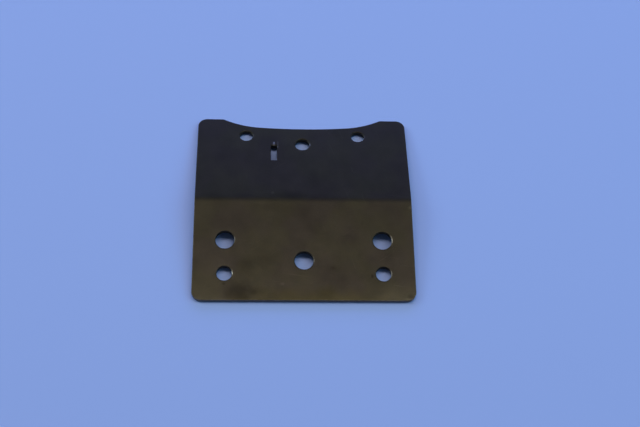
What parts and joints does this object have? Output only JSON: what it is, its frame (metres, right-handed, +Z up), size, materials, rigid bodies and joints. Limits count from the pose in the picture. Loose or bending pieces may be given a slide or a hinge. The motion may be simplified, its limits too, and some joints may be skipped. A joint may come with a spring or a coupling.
{
  "type": "bent mounting plate",
  "caption": "Square dark sheet-steel plate bent a few degrees across its middle, with clearance holes, a small slot and a scalloped edge.",
  "frame": {"origin": "on the surface that the plate stands on, under the middle of the bend", "axes": "+X along the bend, with the slot on the -X side; +Y from the bend towards the scalloped far edge; -Y towards the straight near edge; +Z up, with the bend uppermost"},
  "size_m": [0.07, 0.0696, 0.0054],
  "materials": {
    "black_steel": "satin"
  },
  "bodies": {
    "root": {"bent_plate": "black_steel"}
  },
  "joints": []
}
